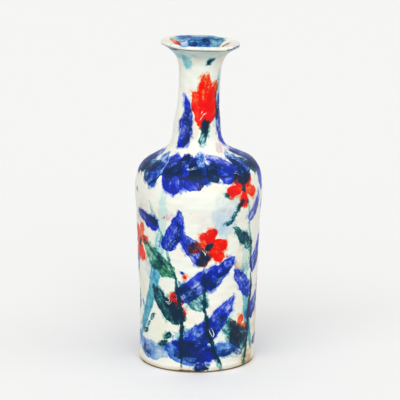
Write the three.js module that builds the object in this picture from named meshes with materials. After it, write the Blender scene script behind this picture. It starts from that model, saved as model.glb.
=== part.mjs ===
// A hand-thrown flower bottle in glazed earthenware, 300 mm tall: a tapered cylinder body,
// a round shoulder, a slim waisted neck and a trumpet mouth with a rolled lip.
// It is built the way a potter builds it. Each section is thrown or coiled by itself and
// seated on the one below with a lap joint: a spigot on the inner half of the wall, a rebate
// in the section above, and a film of slip in between.
// Sizes are in millimetres, +Z is up, and the origin is the middle of the foot's underside.

import * as THREE from 'three';

// Foot and floor
const footHeight = 1.2;
const footSetBack = 0.5;
const footWidth = 6.4;
const footChamfer = 0.4;
const floorThickness = 8.8;
const baseRadius = 53.5;
const baseRounding = 0.8;
const floorCoilSize = 6;

// Body wall
const wallHeight = 160;
const wallThickness = 5.5;
const bodyRadius = 58.9;
const wallDrawIn = 0.6;

// Shoulder
const shoulderHeight = 31;
const shoulderRise = 20.7;
const shoulderCrown = { reach: 14.3, slopeDegrees: 41.5 };

// Neck
const neckHeight = 77;
const neckThickness = 5;
const neckRootRadius = 23.4;
const neckWaistRadius = 18.9;
const neckTopRadius = 19.9;
const neckWaistShare = 0.64;
const neckFootBend = 0.4;
const neckCoilHeight = 8;
const neckCoilWidth = 5.6;
const neckCoilTopWidth = 0.5;
const neckCoilHollow = { across: 0.2, up: 0.3 };

// Mouth and lip
const mouthHeight = 22;
const lipRadius = 35.8;
const lipWidth = 4.4;
const lipThickness = 4;
const lipOverhang = 1.5;
const lipShoulder = 0.3;
const flangeDip = 0.8;
const flareBend = { spread: 0.9, height: 0.5 };
const throatBend = { spread: 0.9, depth: 2.5 };

// Joints between the sections
const lapHeight = 3;
const slipGap = 0.3;

// Facets round the axis, and steps along the curves of an outline
const ringFacets = 48;
const curveSteps = 8;
const shoulderSteps = 12;
const neckSteps = { belowWaist: 6, aboveWaist: 4 };
const coilSteps = 6;
const coveSteps = 5;
const edgeSteps = 3;

const floorTop = footHeight + floorThickness;
const wallTop = floorTop + wallHeight;
const seatTop = wallTop + shoulderHeight;
const neckTop = seatTop + neckHeight;
const rimTop = neckTop + mouthHeight;
const footOuterRadius = baseRadius - footSetBack;
const neckBoreRadius = neckRootRadius - neckThickness;
const coilInnerRadius = neckRootRadius + slipGap;
const seatRadius = coilInnerRadius + neckCoilWidth;

const whiteGlaze = { color: 0xf0ede2, roughness: 0.35, metalness: 0 };
const creamGlaze = { color: 0xebe6d6, roughness: 0.5, metalness: 0 };
const bareClay = { color: 0xb98a63, roughness: 0.9, metalness: 0 };

function pair(radius, height) {
  return new THREE.Vector2(radius, height);
}

function curved(start, control, end, steps = curveSteps) {
  return new THREE.QuadraticBezierCurve(start, control, end).getPoints(steps);
}

function rounded(centre, radiusAcross, radiusUp, fromDegrees, toDegrees, steps = curveSteps) {
  const [from, to] = [fromDegrees, toDegrees].map(THREE.MathUtils.degToRad);
  const clockwise = to < from;
  return new THREE.EllipseCurve(centre.x, centre.y, radiusAcross, radiusUp, from, to, clockwise)
    .getPoints(steps);
}

// A closed outline drawn anticlockwise, radius across and height up, turned about the Z axis.
function turned(name, outline, finish) {
  const onAxis = outline[0].x === 0;
  const profile = onAxis ? outline : [...outline, outline[0].clone()];
  const geometry = new THREE.LatheGeometry(profile, ringFacets).rotateX(Math.PI / 2);
  const mesh = new THREE.Mesh(geometry, new THREE.MeshStandardMaterial(finish));
  mesh.name = name;
  return mesh;
}

// Where the wall is split between the spigot inside and the seat outside.
function lapRadius(inner, outer) {
  return (inner + outer - slipGap) / 2;
}

// The top of the lower section, from its outer face to its inner face.
function spigot(inner, outer, height) {
  const split = lapRadius(inner, outer);
  return [
    pair(outer, height),
    pair(split, height),
    pair(split, height + lapHeight),
    pair(inner, height + lapHeight),
  ];
}

// The underside of the upper section, from its inner face to its outer face.
function rebate(inner, outer, height) {
  const clearOfSpigot = lapRadius(inner, outer) + slipGap;
  return [
    pair(inner, height + lapHeight + slipGap),
    pair(clearOfSpigot, height + lapHeight + slipGap),
    pair(clearOfSpigot, height),
    pair(outer, height),
  ];
}

// The unglazed ring that was turned under the floor, and that the bottle stands on.
function footRing() {
  const inner = footOuterRadius - footWidth;
  return turned('foot_ring', [
    pair(inner + footChamfer, 0),
    pair(footOuterRadius - footChamfer, 0),
    pair(footOuterRadius, footChamfer),
    pair(footOuterRadius, footHeight),
    pair(inner, footHeight),
    pair(inner, footChamfer),
  ], bareClay);
}

function floorDisc() {
  const inner = baseRadius - wallThickness;
  const edge = pair(baseRadius - baseRounding, footHeight + baseRounding);
  return turned('floor_disc', [
    pair(0, footHeight),
    ...rounded(edge, baseRounding, baseRounding, -90, 0, edgeSteps),
    ...spigot(inner, baseRadius, floorTop),
    pair(inner, floorTop),
    pair(0, floorTop),
  ], creamGlaze);
}

// A soft coil pressed into the corner of floor and wall, hollow-faced like a cove moulding.
function floorCoil() {
  const outer = baseRadius - wallThickness - slipGap;
  const cove = pair(outer - floorCoilSize, floorTop + floorCoilSize);
  return turned('floor_coil', [
    pair(outer, floorTop),
    ...rounded(cove, floorCoilSize, floorCoilSize, 0, -90, coveSteps),
  ], creamGlaze);
}

// The thrown wall widens to the shoulder, and is drawn in a little at half height.
function wallLine(shift, fromHeight) {
  const middle = (baseRadius + bodyRadius) / 2 - 2 * wallDrawIn;
  const line = curved(
    pair(baseRadius - shift, floorTop),
    pair(middle - shift, floorTop + wallHeight / 2),
    pair(bodyRadius - shift, wallTop),
  );
  return line.filter((point) => point.y > fromHeight);
}

function bodyWall() {
  const baseInner = baseRadius - wallThickness;
  const topInner = bodyRadius - wallThickness;
  return turned('body_wall', [
    ...rebate(baseInner, baseRadius, floorTop),
    ...wallLine(0, floorTop).slice(0, -1),
    ...spigot(topInner, bodyRadius, wallTop),
    ...wallLine(wallThickness, floorTop + lapHeight).reverse(),
  ], whiteGlaze);
}

// The shoulder leaves the wall straight up, rounds over, and comes in to the neck's seat at a slope.
// The shift moves each point square to the line, from the outer face into the clay.
function shoulderLine(shift) {
  const slope = THREE.MathUtils.degToRad(shoulderCrown.slopeDegrees);
  const seat = pair(seatRadius, seatTop);
  const crown = pair(Math.cos(slope), -Math.sin(slope)).multiplyScalar(shoulderCrown.reach).add(seat);
  const line = new THREE.CubicBezierCurve(
    pair(bodyRadius, wallTop),
    pair(bodyRadius, wallTop + shoulderRise),
    crown,
    seat,
  );
  return Array.from({ length: shoulderSteps + 1 }, (_, step) => {
    const along = line.getTangent(step / shoulderSteps);
    return line.getPoint(step / shoulderSteps).add(pair(-along.y, along.x).multiplyScalar(shift));
  });
}

// The shoulder's inner face, from the collar's underside down to the top of the rebate.
function shoulderCeiling() {
  const collarUnderside = seatTop - wallThickness;
  const line = shoulderLine(wallThickness);
  const above = line.findIndex((point) => point.y > collarUnderside);
  const [below, beyond] = [line[above - 1], line[above]];
  const corner = below.clone().lerp(beyond, (collarUnderside - below.y) / (beyond.y - below.y));
  const face = line.slice(0, above).filter((point) => point.y > wallTop + lapHeight + slipGap);
  return [corner, ...face.reverse()];
}

function shoulderDome() {
  return turned('shoulder_dome', [
    ...rebate(bodyRadius - wallThickness, bodyRadius, wallTop),
    ...shoulderLine(0).slice(1),
    ...spigot(neckBoreRadius, neckRootRadius, seatTop),
    pair(neckBoreRadius, seatTop - wallThickness),
    ...shoulderCeiling(),
  ], whiteGlaze);
}

// A coil worked in round the root of the neck, which makes the hollow between neck and shoulder.
function neckCoil() {
  const topRadius = coilInnerRadius + neckCoilTopWidth;
  const hollow = pair(
    topRadius + neckCoilHollow.across * (seatRadius - topRadius),
    seatTop + neckCoilHollow.up * neckCoilHeight,
  );
  return turned('neck_coil', [
    pair(coilInnerRadius, seatTop),
    ...curved(
      pair(seatRadius, seatTop),
      hollow,
      pair(topRadius, seatTop + neckCoilHeight),
      coilSteps,
    ),
    pair(coilInnerRadius, seatTop + neckCoilHeight),
  ], whiteGlaze);
}

// The neck is straight behind the coil, drawn in to its waist, and opens a little to the mouth.
function neckLine(shift) {
  const coilTop = seatTop + neckCoilHeight;
  const waistHeight = seatTop + neckWaistShare * neckHeight;
  const belowWaist = coilTop + neckFootBend * (waistHeight - coilTop);
  const aboveWaist = (waistHeight + neckTop) / 2;
  return [
    ...curved(
      pair(neckRootRadius - shift, coilTop),
      pair(neckWaistRadius - shift, belowWaist),
      pair(neckWaistRadius - shift, waistHeight),
      neckSteps.belowWaist,
    ),
    ...curved(
      pair(neckWaistRadius - shift, waistHeight),
      pair(neckWaistRadius - shift, aboveWaist),
      pair(neckTopRadius - shift, neckTop),
      neckSteps.aboveWaist,
    ).slice(1, -1),
  ];
}

function neckTube() {
  return turned('neck_tube', [
    ...rebate(neckBoreRadius, neckRootRadius, seatTop),
    ...neckLine(0),
    ...spigot(neckTopRadius - neckThickness, neckTopRadius, neckTop),
    ...neckLine(neckThickness).reverse(),
  ], whiteGlaze);
}

// The trumpet: its underside sweeps out to a ledge for the lip, and its upper side is a
// dished flange that turns down into the bore.
function mouthFlare() {
  const inner = neckTopRadius - neckThickness;
  const ledgeOuter = lipRadius - lipOverhang;
  const ledgeInner = lipRadius - lipWidth - slipGap;
  const ledgeTop = rimTop - lipThickness;
  const flangeEdge = pair(ledgeInner, rimTop - flangeDip);
  const underside = curved(
    pair(neckTopRadius, neckTop),
    pair(neckTopRadius + flareBend.spread, neckTop + flareBend.height * mouthHeight),
    pair(ledgeOuter, ledgeTop),
  );
  const upperSide = curved(
    flangeEdge,
    pair(inner + throatBend.spread, rimTop - throatBend.depth),
    pair(inner, neckTop + lapHeight + slipGap),
  );
  return turned('mouth_flare', [
    ...rebate(inner, neckTopRadius, neckTop),
    ...underside.slice(1),
    pair(ledgeInner, ledgeTop),
    ...upperSide.slice(0, -1),
  ], whiteGlaze);
}

// The rolled lip is a coil that sits on the flare's ledge.
function lipRoll() {
  const inner = lipRadius - lipWidth;
  const ledgeTop = rimTop - lipThickness;
  const noseWidth = lipOverhang + lipShoulder;
  const nose = pair(lipRadius - noseWidth, rimTop - lipThickness / 2);
  return turned('lip_roll', [
    pair(inner, ledgeTop),
    ...rounded(nose, noseWidth, lipThickness / 2, -90, 90),
    pair(inner, rimTop - flangeDip),
  ], whiteGlaze);
}

const bottle = new THREE.Group();
bottle.add(
  footRing(),
  floorDisc(),
  floorCoil(),
  bodyWall(),
  shoulderDome(),
  neckCoil(),
  neckTube(),
  mouthFlare(),
  lipRoll(),
);

export default bottle;
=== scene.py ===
import bpy
import numpy as np
from functools import partial
from math import atan2, ceil, cos, degrees, hypot, log, pi, radians, sin, sqrt, tan
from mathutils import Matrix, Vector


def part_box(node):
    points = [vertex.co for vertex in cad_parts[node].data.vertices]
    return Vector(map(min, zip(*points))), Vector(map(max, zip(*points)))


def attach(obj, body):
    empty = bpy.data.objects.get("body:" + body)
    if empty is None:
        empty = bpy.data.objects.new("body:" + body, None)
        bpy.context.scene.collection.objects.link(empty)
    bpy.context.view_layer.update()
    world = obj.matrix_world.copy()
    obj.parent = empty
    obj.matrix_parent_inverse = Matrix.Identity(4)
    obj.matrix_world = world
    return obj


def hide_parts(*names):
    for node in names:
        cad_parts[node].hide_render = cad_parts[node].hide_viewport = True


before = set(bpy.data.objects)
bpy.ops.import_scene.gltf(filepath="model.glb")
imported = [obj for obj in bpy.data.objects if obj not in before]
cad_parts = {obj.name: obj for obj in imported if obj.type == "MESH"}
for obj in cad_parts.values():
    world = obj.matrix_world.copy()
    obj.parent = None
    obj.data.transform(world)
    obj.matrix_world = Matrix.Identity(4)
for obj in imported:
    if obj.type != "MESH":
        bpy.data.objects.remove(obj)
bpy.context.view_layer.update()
scene = bpy.context.scene
print("frame loaded:", len(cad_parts), "clay sections")

# Lengths are in millimetres. A place on the bottle is its turn in degrees (0 faces the viewer, 90
# is to the right) and its rise: the way along the surface from the bottom edge over the lip and
# down inside.
mm = 0.001  # in Blender's metres


def bottomOf(node):
    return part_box(node)[0][2] / mm


def topOf(node):
    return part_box(node)[1][2] / mm


def radiusOf(node):
    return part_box(node)[1][0] / mm


footRadius = radiusOf("foot_ring")
footHeight = bottomOf("floor_disc")
baseRadius = radiusOf("floor_disc")
floorTop = bottomOf("body_wall")
bodyRadius = radiusOf("body_wall")
wallTop = bottomOf("shoulder_dome")
seatTop = bottomOf("neck_coil")
seatRadius = radiusOf("neck_coil")
coilTop = topOf("neck_coil")
neckRoot = radiusOf("neck_tube")
neckTop = bottomOf("mouth_flare")
ledgeRadius = radiusOf("mouth_flare")
ledgeTop = bottomOf("lip_roll")
rimTop = topOf("lip_roll")
lipRadius = radiusOf("lip_roll")
coveSize = topOf("floor_coil") - floorTop

form = {
    "wall": 5.5,
    "neckWall": 5.0,
    "slip": 0.3,  # left between sections that overlap
    "edgeRounding": 0.8,
    "drawnIn": 0.6,  # how far the wall is drawn in at half height
    "shoulderRise": 20.7,
    "shoulderReach": 14.3,
    "shoulderSlope": 41.5,  # degrees
    "coilHollow": (1.4, 2.4),
    "coilFeather": 0.8,  # how thick the neck's coil ends
    "neckWaist": 18.9,
    "neckWaistShare": 0.64,
    "neckBend": 0.4,
    "neckTop": 19.9,
    "flareBend": (0.9, 11.0),
    "throatBend": (0.9, -2.5),
    "lapEnd": 3.3,  # how far the bore stays straight above the neck
    "undercut": 0.3,
    "lipWidth": 4.4,
    "lipNose": 1.8,
    "lipCrown": 3.0,  # from the lip's inner end back to its top
    "flangeDip": 0.8,
    "floorCentre": 0.4,  # radius at which the floor's outline stops
    "footWidth": 6.4,
    "footRounding": 0.5,
    "softening": 2.0,  # how far wet fingers round the meeting of two sections
    "crispness": 0.35,  # the same at the bottom edge and the lip
    "crispEdge": (4, 12),
    "crispLip": (6, 11),  # from the lip's middle
}


# The outline, from the bottom edge over the lip to the middle of the floor inside

def curve(*points, steps=60):
    t = np.linspace(0, 1, steps + 1)[:, None]
    lines = [np.array(point, float) for point in points]
    while len(lines) > 1:
        lines = [(1 - t) * a + t * b for a, b in zip(lines, lines[1:])]
    return lines[0]


def arc(centre, across, up, fromDegrees, toDegrees, steps=40):
    a = np.radians(np.linspace(fromDegrees, toDegrees, steps + 1))
    return np.stack([centre[0] + across * np.cos(a), centre[1] + up * np.sin(a)], 1)


def shoulderLine(shift):
    slope = radians(form["shoulderSlope"])
    crown = (seatRadius + form["shoulderReach"] * cos(slope),
             seatTop - form["shoulderReach"] * sin(slope))
    line = curve((bodyRadius, wallTop), (bodyRadius, wallTop + form["shoulderRise"]), crown,
                 (seatRadius, seatTop))
    along = np.gradient(line, axis=0)
    along /= np.hypot(*along.T)[:, None]
    return line + shift * np.stack([-along[:, 1], along[:, 0]], 1)


def neckLine(shift):
    waistHeight = seatTop + form["neckWaistShare"] * (neckTop - seatTop)
    lowBend = coilTop + form["neckBend"] * (waistHeight - coilTop)
    waist = form["neckWaist"] - shift
    below = curve((neckRoot - shift, coilTop), (waist, lowBend), (waist, waistHeight))
    above = curve((waist, waistHeight), (waist, (waistHeight + neckTop) / 2),
                  (form["neckTop"] - shift, neckTop))
    return np.vstack([below, above[1:]])


def outlineStretches():
    wall, edge = form["wall"], form["edgeRounding"]
    middle = (baseRadius + bodyRadius) / 2 - 2 * form["drawnIn"]
    outside = curve((baseRadius, floorTop), (middle, (floorTop + wallTop) / 2), (bodyRadius, wallTop))
    inside = (outside - (wall, 0))[::-1]
    inside = inside[inside[:, 1] > floorTop + coveSize]
    collar = seatTop - wall
    bore = neckRoot - form["neckWall"]
    ceiling = shoulderLine(wall)
    ceilingEdge = np.interp(collar, ceiling[:, 1], ceiling[:, 0])
    ceiling = ceiling[ceiling[:, 1] < collar][::-1]
    throat = form["neckTop"] - form["neckWall"]
    throatEnd = neckTop + form["lapEnd"]
    nose = (lipRadius - form["lipNose"], (ledgeTop + rimTop) / 2)
    flangeEdge = (lipRadius - form["lipWidth"], rimTop - form["flangeDip"])
    cove = (baseRadius - wall - coveSize, floorTop + coveSize)
    hollow = np.add((neckRoot, seatTop), form["coilHollow"])
    flareBend = np.add((form["neckTop"], neckTop), form["flareBend"])
    throatBend = np.add((throat, rimTop), form["throatBend"])
    return {
        "edge": arc((baseRadius - edge, footHeight + edge), edge, edge, -90, 0, steps=10),
        "floorSide": [(baseRadius, footHeight + edge), (baseRadius, floorTop)],
        "wall": outside,
        "shoulder": shoulderLine(0),
        "coil": curve((seatRadius, seatTop), hollow, (neckRoot + form["coilFeather"], coilTop)),
        "neck": neckLine(0)[2:],  # the coil's end covers its first points
        "flare": curve((form["neckTop"], neckTop), flareBend, (ledgeRadius - form["undercut"], ledgeTop)),
        "lip": np.vstack([arc(nose, form["lipNose"], (rimTop - ledgeTop) / 2, -90, 90), [flangeEdge]]),
        "flange": curve(flangeEdge, throatBend, (throat, throatEnd)),
        "throat": [(throat, throatEnd), (throat, neckTop)],
        "bore": neckLine(form["neckWall"])[::-1],
        "boreRoot": [(bore, coilTop), (bore, seatTop)],
        "collar": [(bore, seatTop), (bore, collar)],
        "ceiling": np.vstack([[(bore, collar), (ceilingEdge, collar)], ceiling]),
        "wallInside": inside,
        "cove": arc(cove, coveSize, coveSize, 0, -90, steps=20),
        "floor": [(cove[0], floorTop), (form["floorCentre"], floorTop)],
    }


def blurred(values, width):
    tail = int(4 * width) + 1
    weights = np.exp(-0.5 * (np.arange(-tail, tail + 1) / width) ** 2)
    padded = np.pad(values, tail, mode="reflect", reflect_type="odd")
    return np.convolve(padded, weights / weights.sum(), mode="valid")


# 0 before the start and 1 after the end
def between(value, start, end):
    return np.clip((value - start) / (end - start), 0, 1)


def smoothStep(value, start, end):
    t = between(value, start, end)
    return t * t * (3 - 2 * t)


def layOut(stretches, pitch=0.2):
    line = np.vstack([np.array(stretch) for stretch in stretches.values()])
    rise = np.concatenate([[0], np.cumsum(np.hypot(*np.diff(line, axis=0).T))])
    stops = dict(zip(stretches, rise[np.cumsum([len(s) for s in stretches.values()]) - 1]))
    keep = np.concatenate([[True], np.diff(rise) > 1e-6])
    even = np.arange(0, rise[-1] + pitch, pitch)
    line = [np.interp(even, rise[keep], line[keep, axis]) for axis in (0, 1)]
    soft = [blurred(axis, form["softening"] / pitch) for axis in line]
    crisp = [blurred(axis, form["crispness"] / pitch) for axis in line]
    lipMiddle = (stops["flare"] + stops["lip"]) / 2
    share = between(even, *form["crispEdge"]) * between(np.abs(even - lipMiddle), *form["crispLip"])
    radius, height = [share * s + (1 - share) * c for s, c in zip(soft, crisp)]
    return {"rise": even, "radius": radius, "height": height, "ends": stops}


skin = layOut(outlineStretches())
ends = {"start": 0, **skin["ends"]}
print("outline laid out,", round(float(skin["rise"][-1])), "mm from the bottom edge to the floor inside")


def riseAt(height):
    outside = skin["rise"] <= ends["lip"] - form["lipCrown"]
    return float(np.interp(height, skin["height"][outside], skin["rise"][outside]))


def radiusAt(rise):
    return float(np.interp(rise, skin["rise"], skin["radius"]))


# What the potter's hands did: nothing on a thrown bottle is quite round, level or upright

hand = {
    # heights, and how far to the right the axis stands there
    "lean": [(0, -1.7), (14, -1.1), (60, -0.4), (158, 0.2), (184, 0.7), (197, 0.2), (210, -2.1),
             (226, -1.4), (244, 0.0), (273, 1.4), (300, 2.3)],
    "leanSoftening": 9,
    "rimTilt": 2.0,  # degrees, lower on the right
    "rimNod": 1.3,  # degrees, higher in front
    "tiltSpan": (12, 6),  # from below the neck's top to below the rim
    "unevenness": 0.42,
    "smallDents": 0.35,  # against the large ones
    "footTruth": (14, 0.35),  # below this height the large dents lessen to this share
    "trueRadius": 8,  # smaller circles waver less
    # how full, at what height, how far up and down, and towards which turn if not all round
    "swells": [(2.7, 192, 5, 90), (0.9, 226, 9, None), (-0.9, 175, 7, None), (0.7, 157, 9, None)],
    "swellRadius": (12, 20),  # the bore inside this keeps its shape
    "lipWaver": 0.3,
    "lipSpan": (14, 3),  # below the rim
    "outerRings": {"depth": 0.04, "gap": 5.3, "from": 12, "to": 24},
    "innerRings": {"depth": 0.35, "gap": 9.0, "from": 6},  # past the lip
    "ringClimb": 2.2,  # in one turn
    "ringDrift": 0.8,
    "glazeRoll": (0.35, 4.2, 1.7),  # thickness, rise and half width of the glaze's lower edge
    "seed": 11,
}
# turn, rise, half width, half height and thickness of the lumps in the glaze
glazeLumps = [
    (-79, 6.5, 5.0, 3.2, 0.9),
    (3, 3.5, 6.5, 3.0, 0.9),
    (2, 12.0, 3.0, 7.0, 0.35),
    (150, 7.0, 6.0, 3.5, 0.7),
]


# Random waves, at most so many round the bottle and of about this length up it
def waver(seed, mostRound, length, count=14):
    dice = np.random.default_rng(seed)
    waves = [(dice.integers(0, mostRound + 1), dice.normal(0, 2 * pi / length),
              dice.uniform(0, 2 * pi), dice.uniform(0.5, 1)) for _ in range(count)]

    def field(turn, rise):
        return sum(a * np.cos(n * turn + k * rise + p) for n, k, p, a in waves) / sqrt(count / 2)
    return field


dents = waver(hand["seed"], mostRound=5, length=90)
smallDents = waver(hand["seed"] + 1, mostRound=16, length=16, count=22)
ringDrift = waver(hand["seed"] + 2, mostRound=2, length=60)
lipWaver = waver(hand["seed"] + 3, mostRound=6, length=400)
leanHeights = np.arange(-40, 341)
leanTable = blurred(np.interp(leanHeights, *np.array(hand["lean"]).T), hand["leanSoftening"])


def bent(radius, turn, height):
    footTop, share = hand["footTruth"]
    aboveFoot = smoothStep(height, 0, footTop)
    swell = dents(turn, height) * (share + (1 - share) * aboveFoot)
    swell = swell + hand["smallDents"] * smallDents(turn, height) * aboveFoot
    radius = radius + hand["unevenness"] * swell * between(radius, 0, hand["trueRadius"])
    nearRim = smoothStep(height, *(rimTop - below for below in hand["lipSpan"]))
    radius = radius + hand["lipWaver"] * nearRim * lipWaver(turn, height)
    for most, atHeight, spread, atTurn in hand["swells"]:
        sided = 1.0 if atTurn is None else 0.5 + 0.5 * np.cos(turn - radians(atTurn))
        fuller = most * sided * np.exp(-((height - atHeight) / spread) ** 2)
        radius = radius + fuller * smoothStep(radius, *hand["swellRadius"])
    x = radius * np.sin(turn) + np.interp(height, leanHeights, leanTable)
    y = -radius * np.cos(turn)
    tilting = smoothStep(height, neckTop - hand["tiltSpan"][0], rimTop - hand["tiltSpan"][1])
    z = height - tan(radians(hand["rimTilt"])) * x * tilting
    z = z - tan(radians(hand["rimNod"])) * y * tilting
    return x, y, z + hand["lipWaver"] * nearRim * lipWaver(turn + 2, height)


def relief(turn, rise):
    outer, inner = hand["outerRings"], hand["innerRings"]
    inside = smoothStep(rise, ends["lip"] + inner["from"], ends["flange"])
    climb = hand["ringClimb"] * turn / (2 * pi)
    swirl = rise + climb + hand["ringDrift"] * ringDrift(turn, rise)
    lift = outer["depth"] * np.sin(2 * pi * swirl / outer["gap"])
    lift = lift * smoothStep(rise, outer["from"], outer["to"]) * (1 - inside)
    lift = lift + inner["depth"] * np.sin(2 * pi * swirl / inner["gap"]) * inside
    thickness, rollRise, halfWidth = hand["glazeRoll"]
    lift = lift + thickness * np.exp(-((rise - rollRise - ringDrift(turn, 0)) / halfWidth) ** 2)
    for atTurn, atRise, across, up, thickness in glazeLumps:
        away = (turn - radians(atTurn) + pi) % (2 * pi) - pi
        lift = lift + thickness * np.exp(-(away * baseRadius / across) ** 2 - ((rise - atRise) / up) ** 2)
    return lift


def onSkin(turn, rise, half=0.5):
    radius, before, after = [np.interp(rise + d, skin["rise"], skin["radius"]) for d in (0, -half, half)]
    height, below, above = [np.interp(rise + d, skin["rise"], skin["height"]) for d in (0, -half, half)]
    across, up = after - before, above - below
    length = np.hypot(across, up) + 1e-9
    lift = relief(turn, rise)
    return np.stack(bent(radius + lift * up / length, turn, height - lift * across / length), -1)


def skinNormal(turn, rise, aside=0.012, half=0.5):
    sideways = onSkin(turn + aside, rise) - onSkin(turn - aside, rise)
    upward = onSkin(turn, rise + half) - onSkin(turn, rise - half)
    normal = np.cross(sideways, upward)
    return normal / (np.linalg.norm(normal, axis=-1, keepdims=True) + 1e-12)


# Sections of the bottle. Each is a loop of runs: skin on show, or corners, which are points of
# radius and height inside the clay.

columns = 264
turns = np.linspace(0, 2 * pi, columns, endpoint=False) - pi
innerSlot, claySlot, panelSlot = 0, 1, 2
ringGap = {"outside": 1.25, "inside": 2.6, "edge": 0.5, "lip": 0.35, "coil": 0.9, "cove": 1.0}
pouredDepth = 4  # the poured glaze begins this far above the flange's end


def skinRun(start, end, gap):
    count = max(2, ceil((ends[end] - ends[start]) / ringGap[gap]) + 1)
    return {"rise": np.linspace(ends[start], ends[end], count)}


def corners(*points):
    return {"points": points}


def rings(run):
    if "rise" in run:
        rise = run["rise"][:, None]
        return onSkin(turns[None, :], rise), skinNormal(turns[None, :], rise), run["rise"]
    points = np.array(run["points"], float)
    places = np.stack(bent(points[:, :1], turns[None, :], points[:, 1:]), -1)
    return places, np.zeros_like(places), np.zeros(len(points))


def paintedSpan(loop):
    rises = [run["rise"] for run in loop if "rise" in run and run["rise"][0] < ends["flange"]]
    return (min(r[0] for r in rises), max(r[-1] for r in rises)) if rises else None


# Poured glaze inside, bare clay where nothing shows, and outside the panels of the painting
def faceSlots(loop, rise, onShow, sectors, bands):
    slot = np.full(len(onShow), claySlot)
    slot[onShow & (rise > ends["flange"] - pouredDepth)] = innerSlot
    span = paintedSpan(loop)
    if span:
        outside = onShow & (slot == claySlot)
        sector = np.tile(np.arange(columns), len(rise) // columns) * sectors // columns
        band = np.clip((rise - span[0]) / (span[1] - span[0]) * bands, 0, bands - 1).astype(int)
        slot[outside] = panelSlot + (band * sectors + sector)[outside]
    return slot


def newObject(name, data):
    thing = bpy.data.objects.new(name, data)
    scene.collection.objects.link(thing)
    return thing


def capEnds(grid, flat, vertices, faces, slots):
    for row, under in ((0, True), (len(grid) - 1, False)):
        vertices.append((flat[grid[row]].mean(0) * mm).tolist())
        for column in range(columns):
            pair = [int(grid[row, column]), int(grid[row, (column + 1) % columns])]
            faces.append([len(vertices) - 1] + (pair[::-1] if under else pair))
            slots.append(claySlot if under else innerSlot)


def shadeFaces(mesh, flat, quads, normals, onShow):
    quadNormals = normals.reshape(-1, 3)[quads]
    flatNormal = np.cross(flat[quads[:, 1]] - flat[quads[:, 0]], flat[quads[:, 3]] - flat[quads[:, 0]])
    flatNormal /= np.linalg.norm(flatNormal, axis=1, keepdims=True) + 1e-12
    quadNormals[~onShow] = flatNormal[~onShow][:, None, :]
    loopNormals = np.zeros((len(mesh.loops), 3))
    loopNormals[:len(quads) * 4] = quadNormals.reshape(-1, 3)
    mesh.normals_split_custom_set(loopNormals.tolist())


def keepRise(mesh, rises):
    values = np.zeros(len(mesh.vertices), np.float32)
    values[:len(rises)] = rises
    mesh.attributes.new("rise", "FLOAT", "POINT").data.foreach_set("value", values)


def sectionMesh(name, loop, closed=True, sectors=1, bands=1):
    parts = [rings(run) for run in loop]
    places, normals, rises = [np.concatenate([part[i] for part in parts]) for i in range(3)]
    owner = np.concatenate([[index] * len(part[2]) for index, part in enumerate(parts)])
    rows = len(places)
    grid = np.arange(rows * columns).reshape(rows, columns)
    lower = np.arange(rows if closed else rows - 1)
    upper = (lower + 1) % rows
    here, there = grid[lower], grid[upper]
    quads = np.stack([here, np.roll(here, -1, 1), np.roll(there, -1, 1), there], -1).reshape(-1, 4)
    sameRun = [owner[a] == owner[b] and "rise" in loop[owner[a]] for a, b in zip(lower, upper)]
    onShow = np.repeat(sameRun, columns)
    flat = places.reshape(-1, 3)
    vertices, faces = (flat * mm).tolist(), quads.tolist()
    slots = faceSlots(loop, np.repeat(rises[lower], columns), onShow, sectors, bands).tolist()
    if not closed:
        capEnds(grid, flat, vertices, faces, slots)
    mesh = bpy.data.meshes.new(name)
    mesh.from_pydata(vertices, [], faces)
    mesh.polygons.foreach_set("material_index", slots)
    mesh.polygons.foreach_set("use_smooth", [True] * len(faces))
    mesh.update()
    shadeFaces(mesh, flat, quads, normals, onShow)
    keepRise(mesh, np.repeat(rises, columns))
    return newObject(name, mesh)


# Shader helpers

def plug(value, socket):
    if isinstance(value, bpy.types.NodeSocket):
        socket.id_data.links.new(value, socket)
    else:
        socket.default_value = value


# A new node goes into the tree of the values given to it.
def newNode(kind, *values):
    source = next(value for value in values if isinstance(value, bpy.types.NodeSocket))
    return source.id_data.nodes.new("ShaderNode" + kind)


def fill(sockets, *values):
    for value, socket in zip(values, sockets):
        plug(value, socket)


def split(kind, value):
    node = newNode(kind, value)
    plug(value, node.inputs[0])
    return node.outputs


def calc(operation, *values):
    node = newNode("Math", *values)
    node.operation = operation
    fill(node.inputs, *values)
    return node.outputs[0]


times, plus = partial(calc, "MULTIPLY"), partial(calc, "ADD")
minus, timesPlus = partial(calc, "SUBTRACT"), partial(calc, "MULTIPLY_ADD")


def mix(share, first, second):
    node = newNode("Mix", share)
    node.data_type = "RGBA"
    for label, value in (("Factor_Float", share), ("A_Color", first), ("B_Color", second)):
        plug(value, next(s for s in node.inputs if s.identifier == label))
    return next(s for s in node.outputs if s.identifier == "Result_Color")


def ramp(value, fromLow, fromHigh, toLow=0.0, toHigh=1.0, smooth=True):
    node = newNode("MapRange", value)
    node.interpolation_type = "SMOOTHSTEP" if smooth else "LINEAR"
    node.clamp = not smooth  # a smooth step stays between its ends by itself
    fill(node.inputs, value, fromLow, fromHigh, toLow, toHigh)
    return node.outputs[0]


def noise(place, scale, detail=2.0, roughness=0.5, output="Fac", dimensions="3D"):
    node = newNode("TexNoise", place)
    node.noise_dimensions = dimensions
    plug(place, node.inputs["W" if dimensions == "1D" else "Vector"])
    node.inputs["Scale"].default_value = scale
    node.inputs["Detail"].default_value = detail
    node.inputs["Roughness"].default_value = roughness
    return node.outputs[output]


def vectorCalc(operation, *values):
    node = newNode("VectorMath", *values)
    node.operation = operation
    sockets = [node.inputs[0], node.inputs["Scale"]] if operation == "SCALE" else node.inputs
    fill(sockets, *values)
    return node.outputs[0]


def linear(color):
    parts = [c / 255 for c in color]
    return tuple(c / 12.92 if c <= 0.04045 else ((c + 0.055) / 1.055) ** 2.4 for c in parts)


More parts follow.
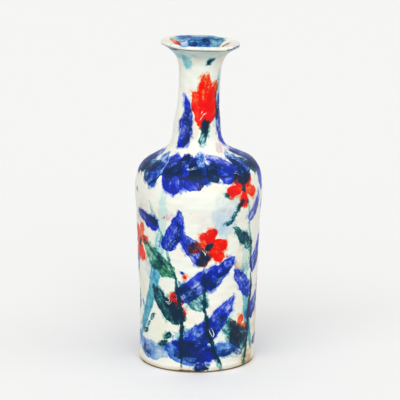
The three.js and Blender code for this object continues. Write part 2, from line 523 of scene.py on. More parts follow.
def newGroup(name, inputs, **outputs):
    tree = bpy.data.node_groups.new(name, "ShaderNodeTree")
    for label in inputs:
        tree.interface.new_socket(label, in_out="INPUT", socket_type="NodeSocketFloat")
    for label, kind in outputs.items():
        tree.interface.new_socket(label, in_out="OUTPUT", socket_type="NodeSocket" + kind)
    given = tree.nodes.new("NodeGroupInput").outputs
    return tree, given, tree.nodes.new("NodeGroupOutput").inputs


def useGroup(tree, group, **values):
    node = tree.nodes.new("ShaderNodeGroup")
    node.node_tree = group
    for label, value in values.items():
        plug(value, node.inputs[label])
    return node


def newMaterial(name):
    material = bpy.data.materials.new(name)
    material.use_nodes = True
    return material, material.node_tree, material.node_tree.nodes["Principled BSDF"]


def dress(shader, color, roughness, height, gloss=0.18):
    shader.inputs["Specular IOR Level"].default_value = gloss
    bump = newNode("Bump", color)
    bump.inputs["Distance"].default_value = 1.0
    plug(height, bump.inputs["Height"])
    plug(color, shader.inputs["Base Color"])
    plug(roughness, shader.inputs["Roughness"])
    plug(bump.outputs[0], shader.inputs["Normal"])


# One mark of a loaded brush: a rounded bar, bowed and tapered, with an edge that follows the wet
# glaze and streaks left by the bristles

surfaceInputs = ["turn", "reach", "rise", "ragAcross", "ragUp", "pools"]
placeInputs = ["atTurn", "atRise", "cosine", "sine", "halfLength", "halfWidth"]
# The paint's own: bow aside, blunt ends, taper to the tip, broken edge, soft edge, bristle streaks,
# pools, dark rim, thickness, how it runs out on the way, and which streaks it has
lookInputs = ["bow", "blunt", "taper", "dry", "soft", "streaks", "pooling", "rim", "load", "fade", "seed"]
wet = {
    "across": 0.45,  # streaks to a millimetre
    "along": 0.02,
    "wander": 0.9,
    "narrowest": 0.08,  # the share of its width that a tapered mark keeps
    "tip": 1.03,  # where a mark ends, in half lengths
    "fray": 0.3,  # of the edge in a mark's middle, and 1 more at its ends
    "spread": 3.0,  # how much softer the edge is where the paint pools
    "crispest": 0.6,
    "bleed": 3.0,  # how far the pools carry a mark's faint halo
    "halo": (-2.2, 0.6, 0.0, 0.16),  # from depth to depth, and its strength there
    "sag": 0.02,  # how much thicker the paint is a millimetre lower
    "sagEnd": -20.0,
    "rimWidth": (0.1, 1.8),
    "thinnest": 0.2,
}


def brushStroke():
    inputs = surfaceInputs + placeInputs + lookInputs
    tree, take, result = newGroup("brushStroke", inputs, amount="Vector")
    # Where a point of the glaze lies along the mark, and how far aside of its bowed middle line
    away = calc("WRAP", minus(take["turn"], take["atTurn"]), pi, -pi)
    across = timesPlus(away, take["reach"], take["ragAcross"])
    up = plus(minus(take["rise"], take["atRise"]), take["ragUp"])
    along = timesPlus(across, take["cosine"], times(up, take["sine"]))
    aside = minus(times(up, take["cosine"]), times(across, take["sine"]))
    t = calc("DIVIDE", along, take["halfLength"])
    square = times(t, t)
    aside = minus(aside, times(square, take["bow"]))
    # How deep inside the mark's edge it is
    width = calc("MAXIMUM", timesPlus(t, take["taper"], 1.0), wet["narrowest"])
    width = times(width, take["halfWidth"])
    v = calc("DIVIDE", aside, width)
    reached = calc("ABSOLUTE", t)
    out = calc("SQRT", timesPlus(v, v, calc("POWER", reached, take["blunt"])))
    edge = times(minus(1.0, out), width)
    toTip = times(minus(wet["tip"], reached), take["halfLength"])
    edge = calc("MINIMUM", edge, toTip)
    # The bristles part the paint in streaks and break its edge
    hair = timesPlus(take["pools"], wet["wander"], take["seed"])
    hair = timesPlus(along, wet["along"], hair)
    hair = timesPlus(aside, wet["across"], hair)
    streak = minus(noise(hair, 1.0, 3.0, 0.6, dimensions="1D"), 0.5)
    fray = calc("MINIMUM", times(square, square), 1.0)
    fray = times(plus(fray, wet["fray"]), take["dry"])
    depth = timesPlus(streak, fray, edge)
    wetness = timesPlus(take["pools"], wet["spread"], 1.0)
    soft = times(take["soft"], calc("MAXIMUM", wetness, wet["crispest"]))
    mask = ramp(depth, times(soft, -1.0), soft)
    halo = ramp(timesPlus(take["pools"], wet["bleed"], edge), *wet["halo"])
    mask = calc("MAXIMUM", mask, halo)
    # How thick it lies
    tone = timesPlus(streak, take["streaks"], 1.0)
    tone = timesPlus(take["pools"], take["pooling"], tone)
    tone = timesPlus(t, take["fade"], tone)
    sagging = calc("MAXIMUM", up, wet["sagEnd"])
    tone = timesPlus(sagging, -wet["sag"], tone)
    tone = plus(ramp(depth, *wet["rimWidth"], take["rim"], 0.0), tone)
    tone = calc("MAXIMUM", tone, wet["thinnest"])
    amount = times(times(tone, take["load"]), mask)
    alike = newNode("CombineXYZ", amount)
    fill(alike.inputs, amount, amount, amount)
    fill(result, alike.outputs[0])
    return tree


# The white glaze under the painting, with a painted shadow line under the lip, and the clay it leaves bare
# at the foot. The last two of four values are the strength at the first two.

glazeColors = {
    "cream": (246, 243, 232),
    "cool": (243, 244, 235),
    "blush": (250, 232, 218),
    "thin": (226, 210, 184),
    "straw": (240, 236, 204),
    # the painted shadow under the lip
    "lipShadow": (84, 86, 78),
    "speck": (92, 70, 50),
    "clay": (144, 104, 78),
    "clayDark": (72, 52, 42),
}
glaze = {
    # scale, detail and roughness of the wide, middle and fine unevenness
    "noises": ((22.0, 2.0), (75.0, 3.0, 0.6), (420.0, 2.0, 0.6)),
    "strawNoise": (38.0, 3.0, 0.6),
    "coolPatches": (0.42, 0.66),
    "blushPatches": (0.52, 0.72, 0, 0.75),
    "strawPatches": (0.54, 0.72, 0, 0.6),
    # where, how wide and how dark in patches the painted shadow under the lip lies
    "lipShadowRise": 0.9,  # past the end of the flare
    "lipShadowWidth": (0.5, 1.3),
    "lipShadowPatches": (0.35, 0.6, 0.5, 1.0),
    "speckScale": 160.0,
    "speckSize": (0.80, 1.0, 0.0, 0.11),  # four cells out of five have none
    "speckEdge": (0.0, 0.05, 0, 0.7),
    "edgeRag": (9.0, 3.0),  # mm, wide and middle, of the glaze's lower edge
    "thinEdge": (0.8, 5.5, 0.7, 0.0),
    "bareEdge": (0.2, 0.9, 1.0, 0.0),
    "bareRoughness": 0.5,  # more than the glaze's
    "roughness": (0.3, 0.7, 0.28, 0.46),
    "waviness": 0.10,  # mm
    "peel": 0.018,  # mm
}


def glazeColor(name):
    return (*linear(glazeColors[name]), 1)


def glazeGround():
    tree, given, result = newGroup("glazeGround", ["rise"], color="Color", height="Float",
                                   roughness="Float")
    rise = given["rise"]
    place = tree.nodes.new("ShaderNodeTexCoord").outputs["Object"]
    wide, middle, fine = [noise(place, *row) for row in glaze["noises"]]
    color = mix(ramp(wide, *glaze["coolPatches"]), glazeColor("cream"), glazeColor("cool"))
    color = mix(ramp(middle, *glaze["blushPatches"]), color, glazeColor("blush"))
    straw = ramp(noise(place, *glaze["strawNoise"]), *glaze["strawPatches"])
    color = mix(straw, color, glazeColor("straw"))
    # A painted shadow: a dark line under the lip, where the lip shades the flare
    underLip = calc("ABSOLUTE", minus(rise, ends["flare"] + glaze["lipShadowRise"]))
    lipShadow = ramp(underLip, *glaze["lipShadowWidth"], ramp(wide, *glaze["lipShadowPatches"]), 0.0)
    color = mix(lipShadow, color, glazeColor("lipShadow"))
    specks = tree.nodes.new("ShaderNodeTexVoronoi")
    plug(place, specks.inputs["Vector"])
    specks.inputs["Scale"].default_value = glaze["speckScale"]
    speckSize = ramp(split("SeparateColor", specks.outputs["Color"])[0], *glaze["speckSize"], smooth=False)
    speck = minus(speckSize, specks.outputs["Distance"])
    color = mix(ramp(speck, *glaze["speckEdge"]), color, glazeColor("speck"))
    # The glaze thins out and stops just above the foot
    edge = rise
    for unevenness, rag in zip((wide, middle), glaze["edgeRag"]):
        edge = timesPlus(minus(unevenness, 0.5), rag, edge)
    color = mix(ramp(edge, *glaze["thinEdge"]), color, glazeColor("thin"))
    bare = ramp(edge, *glaze["bareEdge"])
    bareColor = mix(fine, glazeColor("clayDark"), glazeColor("clay"))
    color = mix(bare, color, bareColor)
    peel = timesPlus(fine, glaze["peel"] * mm, times(middle, glaze["waviness"] * mm))
    roughness = timesPlus(bare, glaze["bareRoughness"], ramp(middle, *glaze["roughness"]))
    fill(result, color, peel, roughness)
    return tree


strokeGroup, groundGroup = brushStroke(), glazeGround()
print("brush mark and ground glaze ready")

# Colours as they look at full strength on white; thinner paint lets more of the glaze through
pigments = {
    "cobalt": (26, 40, 202),
    "smalt": (26, 70, 194),
    "ink": (18, 42, 92),
    "teal": (20, 84, 88),
    "leafGreen": (58, 138, 96),
    "ocean": (26, 84, 132),
    "turquoise": (128, 200, 220),
    "vermilion": (255, 34, 4),
    "rust": (150, 60, 36),
    "toast": (222, 184, 140),
    "mauve": (190, 142, 160),
}
thickPaint = (2, 34, 58)  # what the darkest overlaps stop at
# How each brush leaves its paint
brushLabels = ["blunt", "taper", "dry", "soft", "streaks", "pooling", "rim", "fade"]
brushRows = {
    "flat": (5.0, 0.10, 2.4, 0.35, 2.8, 1.1, 0.25, -0.25),
    "round": (2.4, -0.35, 1.2, 0.35, 2.4, 1.3, 0.25, 0.20),
    "petal": (3.0, 0.30, 1.6, 0.40, 2.6, 1.3, 0.20, 0.10),
    "dense": (2.8, 0.20, 2.2, 0.25, 1.1, 0.9, 0.10, 0.05),
    "liner": (6.0, -0.20, 0.9, 0.25, 1.2, 0.8, 0.20, -0.15),
    "wash": (3.5, 0.05, 4.0, 0.90, 1.2, 0.9, 0.15, -0.30),
    "smudge": (3.5, 0.05, 4.0, 1.8, 1.2, 0.9, 0.15, -0.30),
    "tint": (3.5, 0.05, 4.0, 3.0, 1.2, 0.9, 0.15, -0.30),
}
brushes = {name: dict(zip(brushLabels, row)) for name, row in brushRows.items()}
painting = []
rng = np.random.default_rng(8)


def about(value, spread):
    return value * (1 + rng.uniform(-spread, spread))


def strayed(value):
    return about(*value) if isinstance(value, tuple) else value


def at(turn, height):
    return turn, riseAt(height)


def moved(place, direction, distance):
    turn, rise = place
    up, across = distance * sin(radians(direction)), distance * cos(radians(direction))
    return turn + degrees(across / radiusAt(rise + up / 2)), rise + up


# Directions are in degrees: 0 runs to the right and 90 up. The seed picks the streaks of a mark.
def stroke(pigment, brush, place, direction, length, width, bow=0.0, load=1.0):
    painting.append({"pigment": pigment, "turn": place[0], "rise": place[1], "direction": direction,
                     "length": length, "width": width, "bow": bow, "load": load,
                     "seed": rng.uniform(0, 40), **brushes[brush]})


# A stroke drawn freely: directions and bows are ranges, and other pairs a value and how far it
# strays
def loose(pigment, brush, place, directions, length, width, bows=None, load=1.0):
    direction = rng.uniform(*directions)
    length, width = strayed(length), strayed(width)
    bow = rng.uniform(*bows) if bows else 0.0
    stroke(pigment, brush, place, direction, length, width, bow, strayed(load))


# The second mark in a leaf, a blossom's petals and heart, and the leaves of a spray. Lengths and
# widths are shares, a petal's width of its own length.
shading = {"along": 0.42, "aside": 0.22, "turned": 4, "length": 0.66, "width": 0.38, "load": 0.5}
petal = {"turned": 12, "length": 0.46, "along": 0.62, "width": 0.62, "stray": 0.15, "bow": 1.5,
         "load": 0.35}
heart = {"turned": 20, "length": 0.24, "width": 0.15, "load": 1.5}
sprig = {"stem": 3.0, "start": 0.1, "span": 0.76, "size": 1.1, "shrinking": 0.35, "opening": 48,
         "load": 0.9}


def leaf(pigment, place, direction, length, width, bow=0.0, load=1.0, shade=None, brush="round"):
    stroke(pigment, brush, moved(place, direction, length / 2), direction, length, width, bow, load)
    if shade:
        side = moved(place, direction, shading["along"] * length)
        side = moved(side, direction - 90, shading["aside"] * width)
        stroke(shade, brush, side, direction + about(shading["turned"], 1), shading["length"] * length,
               shading["width"] * width, bow, shading["load"] * load)


def blossom(place, across, petals, spin, load=1.0):
    for index in range(petals):
        direction = spin + 360 * index / petals + rng.uniform(-petal["turned"], petal["turned"])
        length = about(petal["length"], petal["stray"]) * across
        stroke("vermilion", "dense", moved(place, direction, petal["along"] * length), direction, length,
               about(petal["width"], petal["stray"]) * length, rng.uniform(-petal["bow"], petal["bow"]),
               about(load, petal["load"]))
    stroke("teal", "round", place, spin + heart["turned"], heart["length"] * across,
           heart["width"] * across, load=heart["load"])


def stem(start, end, width, bow):
    middle = ((start[0] + end[0]) / 2, (start[1] + end[1]) / 2)
    across = radians(end[0] - start[0]) * radiusAt(middle[1])
    up = end[1] - start[1]
    direction, half = degrees(atan2(up, across)), hypot(across, up) / 2
    middle = moved(middle, direction + 90, -bow)
    stroke("teal", "liner", middle, direction, 2 * half, width, bow, load=1.2)

    def onStem(share):
        t = 2 * share - 1
        place = moved(moved(middle, direction, t * half), direction + 90, bow * t * t)
        return place, direction + degrees(atan2(2 * bow * t, half))
    return onStem


def spray(start, end, bow, leaves, length, width, colors, load=1.0, firstSide=1):
    onStem = stem(start, end, sprig["stem"], bow)
    for index in range(leaves):
        share = sprig["start"] + sprig["span"] * index / (leaves - 1)
        place, direction = onStem(share)
        side = firstSide * (-1) ** index
        pigment, shade = colors[index % len(colors)]
        size = (sprig["size"] - sprig["shrinking"] * share) * about(1.0, 0.12)
        leaf(pigment, place, direction + side * about(sprig["opening"], 0.2), size * length, size * width,
             side * rng.uniform(-4, 1), about(sprig["load"] * load, 0.4), shade)
    return onStem(1.0)[0]


def paintBody():
    for place, direction, length, width, bow, load in (
            (at(-44, 96), 74, 150, 12, 9, 1.3), (at(52, 70), 98, 110, 9, -6, 1.1),
            (at(8, 40), 20, 60, 16, 5, 0.5), (at(148, 90), 80, 130, 13, -8, 1.2),
            (at(-132, 70), 104, 110, 11, 8, 1.2)):
        stroke("turquoise", "wash", place, direction, length, width, bow, load)
    for turn in (-174, -134, -94, -54, -14, 22, 104, 128, 150):
        place = at(turn, about(17, 0.25))
        loose("smalt", "wash", place, (-14, 14), (44, 0.2), (17, 0.2), (2, 6), (0.5, 0.4))
    blue, dark, green = ("cobalt", "ink"), ("cobalt", "teal"), ("teal", "ocean")
    pale, fresh = ("cobalt", None), ("leafGreen", "teal")
    spray(at(-18, 6), at(-50, 156), 12, 6, 47, 17, [dark, green, blue, fresh, blue], firstSide=-1)
    tip = spray(at(22, 5), at(10, 120), -9, 5, 44, 16, [blue, pale, green, dark], load=0.9)
    spray(at(54, 5), at(50, 160), 8, 6, 42, 15, [green, blue, pale, dark], load=0.9)
    blossom(tip, 34, 6, 10)
    blossom(at(-22, 62), 22, 5, 40, 0.9)
    blossom(at(-70, 118), 32, 6, 0)
    blossom(at(44, 38), 24, 5, 70, 0.8)
    # The far side, as freely
    spray(at(118, 6), at(104, 150), 10, 6, 48, 18, [blue, green, dark], firstSide=-1)
    spray(at(170, 6), at(158, 140), -9, 6, 46, 17, [dark, blue, fresh])
    spray(at(-142, 6), at(-120, 158), 9, 7, 50, 18, [green, blue, pale, dark])
    spray(at(-92, 5), at(-96, 110), -8, 5, 42, 15, [blue, fresh, dark], load=0.9)
    for turn, height, across in ((140, 122, 36), (-170, 70, 30), (-108, 140, 34), (92, 66, 28)):
        blossom(at(turn, height), across, 6, turn)
    # Rows of seeds in the white between
    for turn, height, count in ((-62, 34, 3), (30, 142, 3), (-36, 26, 2), (84, 104, 3), (-160, 118, 3),
                                (128, 40, 2)):
        for index in range(count):
            place = moved(at(turn, height), 56, 9.0 * index)
            loose("teal", "round", place, (20, 60), (8.5, 0.2), (4.2, 0.2), load=1.2)


def paintShoulder():
    washHeight, leafHeight, blossomHeight = 189, 200, 172
    for turn in range(-180, 180, 45):
        place = at(turn + rng.uniform(-8, 8), washHeight)
        loose("smalt", "wash", place, (-12, 12), (40, 0.2), (18, 0.2), (-4, 4), (0.35, 0.5))
    for index in range(18):
        turn = 20 * index + rng.uniform(-5, 5)
        if index in (2, 7, 12):
            blossom(at(turn, blossomHeight), 34, 5, turn, load=1.3)
            continue
        shade = ("ink", None, "teal", None)[index % 4]
        leaf("cobalt" if index % 3 else "smalt", at(turn, leafHeight), -90 + rng.uniform(-22, 22),
             about(42, 0.2), about(18, 0.2), rng.uniform(-6, 6), about(0.85, 0.45), shade, "petal")
    for turn in (12, -60, 84, 156, -132):
        stroke("ocean", "wash", at(turn, 190), 12, 30, 12, -3, load=0.7)
        leaf("teal", at(turn - 22, 195), -70, 24, 9, 2, 1.2, brush="petal")


def paintNeck():
    root = riseAt(204)
    leaf("cobalt", (-36, root), 86, 48, 12, 3, 1.0, "ink")
    leaf("cobalt", (76, root), 92, 50, 13, -3, 0.7, "teal")
    leaf("cobalt", (-150, root), 90, 60, 14, 2, 1.0, "ink")
    leaf("teal", (10, root + 4), 80, 26, 7, 2, 1.0)
    stroke("turquoise", "wash", at(66, 252), 90, 46, 8, load=0.8)
    for lean, length, load in ((22, 44, 1.4), (-12, 34, 1.2), (4, 50, 1.3), (40, 26, 1.0)):
        leaf("vermilion", at(12, 224), 90 - lean, length, 11, 0.05 * lean, load, brush="dense")
    leaf("vermilion", at(150, 222), 92, 34, 9, 2, brush="dense")
    stroke("leafGreen", "round", at(18, 224), 70, 12, 6, load=1.1)
    stroke("turquoise", "wash", at(-30, 284), 80, 14, 10, load=0.6)
    stroke("teal", "round", at(28, 284), 30, 8, 4.5, load=1.4)
    stroke("ink", "flat", (-52, ends["flare"] - 3), 4, 13, 2.6, load=1.2)


def paintMouth():
    lip, underLip = ends["lip"], ends["flare"]
    stroke("ocean", "wash", (150, lip + 10), 4, 26, 17, load=0.4)
    stroke("smalt", "wash", (194, lip + 10), -6, 38, 18, load=0.35)
    stroke("ocean", "flat", (178, lip + 11), -4, 22, 9, load=0.8)
    stroke("teal", "round", (228, lip + 9), 12, 9, 5, load=0.4)
    stroke("smalt", "liner", (-6, lip - 2.8), 0, 46, 1.3, load=0.5)
    stroke("vermilion", "petal", (-110, lip + 8), 60, 14, 8, load=0.9)
    stroke("rust", "liner", (105, lip + 8), 70, 9, 2.0, load=0.8)
    stroke("rust", "liner", (96, lip + 9), 60, 8, 1.8, load=0.7)
    stroke("ink", "liner", (68, underLip + 2.6), 2, 30, 1.1, load=0.45)
    stroke("ocean", "wash", (184, lip + 2), 0, 60, 8, load=0.35)
    # Turquoise paint under the flare; the faint wash at turn 20 is a painted green tint of light thrown up
    # from below
    for turn, load in ((-40, 0.4), (20, 0.12), (150, 0.35), (-110, 0.3)):
        stroke("turquoise", "wash", (turn, underLip - 9), 2, 30, 13, load=load)


# Stains of the firing: toasted clay that shows through at the foot, and a run of blue glaze
def paintFoot():
    for turn, rise, width, load in ((60, 10, 20, 0.5), (80, 36, 14, 0.3), (66, 3, 12, 0.3),
                                    (-108, 8, 12, 0.8)):
        stroke("toast", "tint", (turn, rise), 80, 34, width, load=load)
    stroke("ink", "round", (3, 4), 0, 13, 7, load=1.6)
    stroke("cobalt", "round", (2, 11), 92, 16, 8, load=1.0)


# Wiped smudges, drops off the brush, and pairs of scratches down to the white, which also serve as painted
# glints
def paintAccidents():
    for index in range(24):
        height = (30, 110, 150, 190, 215, 240)[index % 6]
        place = at(rng.uniform(-180, 180), height + rng.uniform(-14, 14))
        pigment = ("mauve", "toast", "turquoise", "rust")[index % 4]
        loose(pigment, "smudge", place, (50, 130), (9, 0.4), (6, 0.3), load=(0.4, 0.4))
    for index in range(26):
        place = at(rng.uniform(-180, 180), rng.uniform(20, 240))
        pigment = ("vermilion", "cobalt", "teal")[index % 3]
        loose(pigment, "round", place, (40, 140), (2.6, 0.4), (1.9, 0.3), load=0.9)
    for turn, height, direction in (
            (16, 236, 60), (6, 118, 120), (-28, 66, 40), (-4, 190, 20), (44, 186, 150),
            (-40, 182, 75), (14, 40, 110), (150, 120, 50), (-120, 140, 100), (-168, 60, 30)):
        for twin in (0, 1):
            place = moved(at(turn, height), direction + 90, 2.4 * twin)
            stroke("scratch", "liner", place, direction + 8 * twin, about(11, 0.3), 0.9, 1.2, load=0.75)


# Navy let into the wet blue, and thin lines drawn along it
def paintDepths():
    for turn in range(-166, 180, 36):
        place = at(turn, about(189, 0.02))
        loose("ink", "petal", place, (-120, -60), (24, 0.3), (9, 0.3), (-3, 3), (0.7, 0.4))
        place = at(turn + 15, about(184, 0.02))
        loose("ink", "liner", place, (10, 60), (20, 0.3), 1.8, (-4, 4), 0.8)
    for turn in range(-156, 180, 48):
        place = at(turn, about(19, 0.3))
        loose("ink", "flat", place, (-40, 40), (22, 0.3), (8, 0.3), (-3, 3), (0.5, 0.4))


# Rinsing water from the brushes, which dried as faint tints in the white
def paintTints():
    for index in range(18):
        pigment, load = (("turquoise", 0.26), ("mauve", 0.16), ("smalt", 0.07), ("toast", 0.2))[index % 4]
        turn = 20 * index - 170 + rng.uniform(-8, 8)
        place = at(turn, (152, 104, 232, 60, 134)[index % 5] + rng.uniform(-12, 12))
        loose(pigment, "tint", place, (40, 140), (34, 0.3), (17, 0.3), (-4, 4), (load, 0.3))


for paintPart in (paintBody, paintShoulder, paintNeck, paintMouth, paintFoot, paintAccidents, paintDepths,
                  paintTints):
    paintPart()
print("painted with", len(painting), "brush marks")

# The wet glaze moves the edges of the paint, pools it and breaks it up
film = {
    "rag": 7.0,  # mm, slow
    "fineRag": 1.1,  # mm
    "poolShares": (0.3, 0.7),  # of the middle and the wide noise
    "pools": (0.37, 0.64),  # of the noise, from thin to thick
    "grainShares": (0.6, 0.5),  # of the fine and the middle noise
    "grainFrom": (0.35, 0.75),
    "grain": (0.62, 1.32),
    "scale": {"wide": 95.0, "middle": 240.0, "fine": 620.0},
}
margin = 5.0  # mm round a mark


def reaches(mark, riseSpan, turnSpan):
    along, across = mark["length"] / 2, mark["width"] / 2 * (1 + abs(mark["taper"]))
    sine, cosine = [abs(f(radians(mark["direction"]))) for f in (sin, cos)]
    up = along * sine + (across + abs(mark["bow"])) * cosine + margin
    aside = along * cosine + (across + abs(mark["bow"])) * sine + margin
    if mark["rise"] - up > riseSpan[1] or mark["rise"] + up < riseSpan[0]:
        return False
    inside = (skin["rise"] >= riseSpan[0] - 1) & (skin["rise"] <= riseSpan[1] + 1)
    half = degrees(aside / float(skin["radius"][inside].min())) + (turnSpan[1] - turnSpan[0]) / 2
    away = (mark["turn"] - sum(turnSpan) / 2 + 180) % 360 - 180
    return abs(away) < half


def placeOnSkin(tree):
    place = tree.nodes.new("ShaderNodeTexCoord").outputs["Object"]
    x, y = split("SeparateXYZ", place)[:2]
    turn = calc("ARCTAN2", x, times(y, -1.0))
    reach = calc("SQRT", timesPlus(x, x, times(y, y)))
    attribute = tree.nodes.new("ShaderNodeAttribute")
    attribute.attribute_name = "rise"
    return place, turn, calc("DIVIDE", reach, mm), attribute.outputs["Fac"]


# Lays a mark over the paint so far, or, for a scratch that also serves as a painted glint, lifts with it
# what lies under
def layMark(tree, surface, mark, total):
    direction = radians(mark["direction"])
    place = (radians(mark["turn"]), mark["rise"], cos(direction), sin(direction),
             mark["length"] / 2, mark["width"] / 2)
    look = {label: mark[label] for label in lookInputs}
    node = useGroup(tree, strokeGroup, **surface, **dict(zip(placeInputs, place)), **look)
    amount = node.outputs["amount"]
    if mark["pigment"] == "scratch":
        return vectorCalc("MULTIPLY", total, vectorCalc("SUBTRACT", (1.0, 1.0, 1.0), amount))
    absorbed = [-log(c) for c in linear(pigments[mark["pigment"]])]
    return vectorCalc("MULTIPLY_ADD", amount, absorbed, total)


def paintedGlaze(name, riseSpan, turnSpan):
    material, tree, shader = newMaterial(name)
    place, turn, reach, rise = placeOnSkin(tree)
    ground = useGroup(tree, groundGroup, rise=rise)
    wide, middle, fine = [split("SeparateColor", noise(place, scale, 2.0, 0.6, output="Color"))
                          for scale in film["scale"].values()]
    rag = []
    for slow, quick in zip(wide[:2], fine[:2]):
        slow = times(minus(slow, 0.5), film["rag"])
        rag.append(timesPlus(minus(quick, 0.5), film["fineRag"], slow))
    middleShare, wideShare = film["poolShares"]
    pools = timesPlus(middle[0], middleShare, times(wide[2], wideShare))
    pools = ramp(pools, *film["pools"], -0.5, 0.5)
    surface = dict(zip(surfaceInputs, (turn, reach, rise, *rag, pools)))
    total = (0.0, 0.0, 0.0)
    marks = [mark for mark in painting if reaches(mark, riseSpan, turnSpan)]
    for mark in marks:
        total = layMark(tree, surface, mark, total)
    fineShare, middleShare = film["grainShares"]
    grain = timesPlus(fine[2], fineShare, times(middle[1], middleShare))
    grain = ramp(grain, *film["grainFrom"], *film["grain"], smooth=False)
    # What light is left after the paint, channel by channel
    total = vectorCalc("MAXIMUM", total, (0.0, 0.0, 0.0))
    depth = split("SeparateXYZ", vectorCalc("SCALE", total, times(grain, -1.0)))
    through = newNode("CombineXYZ", depth[0])
    shares = [calc("EXPONENT", part) for part in depth]
    fill(through.inputs, *shares)
    color = vectorCalc("MULTIPLY", ground.outputs["color"], through.outputs[0])
    body = vectorCalc("SCALE", linear(thickPaint), minus(1.0, shares[0]))
    color = vectorCalc("ADD", color, body)
    dress(shader, color, ground.outputs["roughness"], ground.outputs["height"])
    return material, len(marks)


# At the lip this is its painted shadow line
innerRise = 200.0  # far from the foot and the lip, whose stains the inside doesn't have


def pouredGlaze():
    material, tree, shader = newMaterial("pouredGlaze")
    ground = useGroup(tree, groundGroup, rise=innerRise)
    dress(shader, ground.outputs["color"], ground.outputs["roughness"], ground.outputs["height"])
    return material


clay = {
    "gritScale": 900.0,
    "ringsPerMm": 0.7,  # left by the turning tool
    "stainScale": 36.0,
    "stains": (0.35, 0.75, 0, 0.35),
    "darkRings": (0.5, 0.7, 0, 0.3),
    "paleGrit": (0.55, 0.8, 0, 0.5),
    "ringDepth": 0.3,
    "gritHeight": 0.12,
    "roughness": 0.88,
}


def bareClay():
    material, tree, shader = newMaterial("bareClay")
    place, turn, reach, rise = placeOnSkin(tree)
    grit = noise(place, clay["gritScale"], 3.0, 0.7)
    turned = noise(reach, clay["ringsPerMm"], 2.0, 0.6, dimensions="1D")
    stain = ramp(noise(place, clay["stainScale"], 2.0), *clay["stains"])
    color = mix(stain, glazeColor("clay"), glazeColor("clayDark"))
    color = mix(ramp(turned, *clay["darkRings"]), color, glazeColor("clayDark"))
    color = mix(ramp(grit, *clay["paleGrit"]), color, glazeColor("thin"))
    height = timesPlus(turned, clay["ringDepth"] * mm, times(grit, clay["gritHeight"] * mm))
    dress(shader, color, clay["roughness"], height)
    return material


pouredMaterial, clayMaterial = pouredGlaze(), bareClay()


def finishPiece(piece, node, materials):
    for material in materials:
        piece.data.materials.append(material)
    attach(piece, "root")
    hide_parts(node)


wallInner = baseRadius - form["wall"]
lipInner = lipRadius - form["lipWidth"]
hidden = {"underRings": 26, "underFrom": 0.5, "underInset": 2.2, "coveInset": 0.2, "coilTuck": 0.6}
underRings = np.linspace(hidden["underFrom"], baseRadius - hidden["underInset"], hidden["underRings"])
coveRadius = wallInner - hidden["coveInset"]
tuck = coilTop - hidden["coilTuck"]
slipRadius = neckRoot + form["slip"]
sections = {
    "floor_disc": [
        corners(*[(radius, footHeight) for radius in underRings]),
        skinRun("start", "floorSide", "edge"),
        corners((wallInner - coveSize, floorTop)),
        skinRun("cove", "floor", "inside"),
    ],
    "floor_coil": [
        corners((wallInner - coveSize, floorTop), (coveRadius, floorTop),
                (coveRadius, floorTop + coveSize)),
        skinRun("wallInside", "cove", "cove"),
    ],
    "body_wall": [
        skinRun("floorSide", "wall", "outside"),
        skinRun("ceiling", "wallInside", "inside"),
        corners((wallInner, floorTop)),
    ],
    "shoulder_dome": [
        skinRun("wall", "shoulder", "outside"),
        corners((neckRoot, seatTop)),
        skinRun("boreRoot", "ceiling", "inside"),
    ],
    "neck_coil": [
        skinRun("shoulder", "coil", "coil"),
        corners((slipRadius, tuck), (slipRadius, seatTop)),
    ],
    "neck_tube": [
        corners((neckRoot, seatTop), (neckRoot, tuck)),
        skinRun("coil", "neck", "outside"),
        skinRun("throat", "boreRoot", "inside"),
    ],
    "mouth_flare": [
        skinRun("neck", "flare", "coil"),
        corners((lipInner - form["slip"], ledgeTop)),
        skinRun("lip", "throat", "coil"),
    ],
    "lip_roll": [
        skinRun("flare", "lip", "lip"),
        corners((lipInner, ledgeTop)),
    ],
}
# How many panels round and up a section is painted in
panels = {
    "floor_disc": (8, 1),
    "body_wall": (12, 3),
    "shoulder_dome": (12, 1),
    "neck_coil": (6, 1),
    "neck_tube": (6, 2),
    "mouth_flare": (4, 1),
    "lip_roll": (4, 1),
}


def paintPanels(node, span, sectors, bands):
    edges = np.linspace(*span, bands + 1)
    return [paintedGlaze(f"{node}_{band}_{sector}", edges[band:band + 2],
                         [360 * side / sectors - 180 for side in (sector, sector + 1)])
            for band in range(bands) for sector in range(sectors)]


for node, loop in sections.items():
    sectors, bands = panels.get(node, (1, 1))
    piece = sectionMesh(node + "_glazed", loop, node != "floor_disc", sectors, bands)
    span = paintedSpan(loop)
    painted = paintPanels(node, span, sectors, bands) if span else []
    finishPiece(piece, node,
                [pouredMaterial, clayMaterial, *(material for material, count in painted)])
    most = max((count for material, count in painted), default=0)
    print(piece.name, "has", len(piece.data.polygons), "faces and at most", most, "marks in a panel")

rounding, footInner = form["footRounding"], footRadius - form["footWidth"]
outerEdge = arc((footRadius - rounding, rounding), rounding, rounding, -90, 0, steps=5)
innerEdge = arc((footInner + rounding, rounding), rounding, rounding, -180, -90, steps=5)
top = [(footRadius, footHeight), (footInner, footHeight)]
foot = sectionMesh("foot_ring_bare", [corners(*outerEdge, *top, *innerEdge)])
finishPiece(foot, "foot_ring", [clayMaterial, clayMaterial])
print(foot.name, "has", len(foot.data.polygons), "faces")


# Floor, light and camera

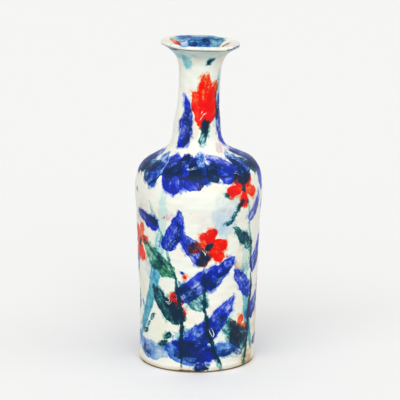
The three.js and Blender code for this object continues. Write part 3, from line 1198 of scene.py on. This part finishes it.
studio = {
    "cameraDistance": 2.281,
    "cameraHeight": 0.710,
    "cameraAside": 0.0015,
    "lookDown": 13.78,
    "lens": 228.4,
    "farthestView": 50,
    "floor": (253, 253, 252),
    "floorShade": (168, 180, 173),  # what the floor throws back onto the bottle
    "floorRoughness": 0.7,
    "floorReach": 6.0,
    "worldLight": 0.65,
    "key": {"from": (-0.3, -1.0, 0.5), "strength": 1.60, "softness": 80},
    "fill": {"from": (1.0, -0.75, 0.45), "strength": 0.70, "softness": 80},
}


def lamp(name, settings):
    data = bpy.data.lights.new(name, "SUN")
    data.energy, data.angle = settings["strength"], radians(settings["softness"])
    light = newObject(name, data)
    light.location = settings["from"]
    light.rotation_euler = light.location.to_track_quat("Z", "Y").to_euler()


def lightWorld():
    world = bpy.data.worlds.new("studio")
    scene.world = world
    world.use_nodes = True
    background = world.node_tree.nodes["Background"]
    background.inputs["Color"].default_value = (1, 1, 1, 1)
    background.inputs["Strength"].default_value = studio["worldLight"]


def paleFloor():
    reach = studio["floorReach"]
    mesh = bpy.data.meshes.new("floor")
    mesh.from_pydata([(-reach, -reach, 0), (reach, -reach, 0), (reach, reach, 0), (-reach, reach, 0)],
                     [], [(0, 1, 2, 3)])
    floor = newObject("floor", mesh)
    material, tree, shader = newMaterial("paleFloor")
    rays = tree.nodes.new("ShaderNodeLightPath").outputs
    seen = calc("MAXIMUM", rays["Is Glossy Ray"], rays["Is Transmission Ray"])
    seen = calc("MAXIMUM", rays["Is Camera Ray"], seen)
    color = mix(seen, *((*linear(studio[name]), 1) for name in ("floorShade", "floor")))
    plug(color, shader.inputs["Base Color"])
    shader.inputs["Roughness"].default_value = studio["floorRoughness"]
    mesh.materials.append(material)


def placeCamera():
    camera = newObject("camera", bpy.data.cameras.new("camera"))
    camera.location = (studio["cameraAside"], -studio["cameraDistance"], studio["cameraHeight"])
    camera.rotation_euler = (radians(90 - studio["lookDown"]), 0, 0)
    camera.data.lens = studio["lens"]
    camera.data.clip_end = studio["farthestView"]
    scene.camera = camera
    scene.view_settings.view_transform = "Standard"


lamp("keyLight", studio["key"])
lamp("fillLight", studio["fill"])
lightWorld()
paleFloor()
placeCamera()
print("lamps, floor and camera in place")
